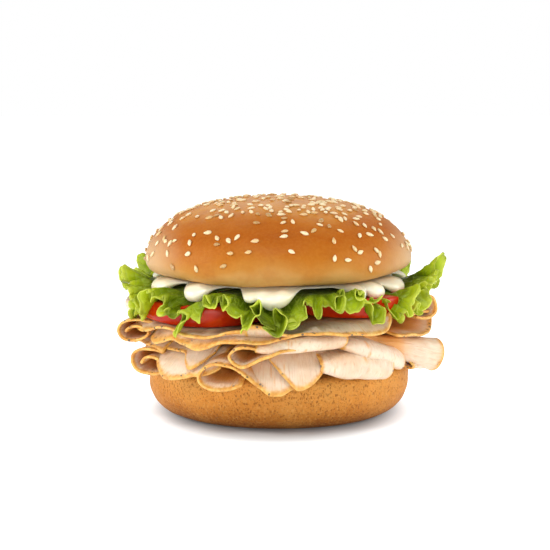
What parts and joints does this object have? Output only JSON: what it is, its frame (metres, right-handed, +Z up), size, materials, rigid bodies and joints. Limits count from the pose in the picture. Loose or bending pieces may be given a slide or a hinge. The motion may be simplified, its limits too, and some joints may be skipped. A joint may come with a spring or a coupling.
{
  "type": "club sandwich",
  "caption": "Club sandwich in a round sesame-seed bun: folded turkey slices, tomato slices, frilly green lettuce and mayonnaise between a domed crown and a rounded heel.",
  "frame": {"origin": "on the table, on the bun's axis, in the middle of the heel's flat foot", "axes": "+Z up through the crown; -Y towards the front"},
  "size_m": [0.1245, 0.1242, 0.0834],
  "materials": {
    "heel_crust": "matte golden bread crust with fine pores",
    "crown_crust": "satin baked crust, golden brown on top and pale at the rim",
    "turkey": "moist pale cooked turkey with a golden seasoned rim",
    "tomato": "wet glossy red skin",
    "lettuce": "satin fresh yellow-green leaf",
    "mayonnaise": "glossy off-white sauce"
  },
  "bodies": {
    "root": {"bun_heel": "heel_crust", "bun_crown": "crown_crust", "turkey_01": "turkey", "turkey_02": "turkey", "turkey_03": "turkey", "turkey_04": "turkey", "turkey_05": "turkey", "turkey_06": "turkey", "turkey_07": "turkey", "turkey_08": "turkey", "turkey_09": "turkey", "turkey_10": "turkey", "turkey_11": "turkey", "turkey_12": "turkey", "turkey_13": "turkey", "turkey_14": "turkey", "turkey_15": "turkey", "turkey_16": "turkey", "turkey_17": "turkey", "turkey_18": "turkey", "turkey_19": "turkey", "turkey_20": "turkey", "turkey_21": "turkey", "turkey_22": "turkey", "turkey_23": "turkey", "turkey_24": "turkey", "turkey_25": "turkey", "turkey_26": "turkey", "turkey_27": "turkey", "turkey_28": "turkey", "turkey_29": "turkey", "turkey_30": "turkey", "turkey_31": "turkey", "turkey_32": "turkey", "tomato_left": "tomato", "tomato_right": "tomato", "tomato_back": "tomato", "lettuce_1": "lettuce", "lettuce_2": "lettuce", "lettuce_3": "lettuce", "lettuce_4": "lettuce", "lettuce_5": "lettuce", "mayonnaise": "mayonnaise"}
  },
  "joints": []
}
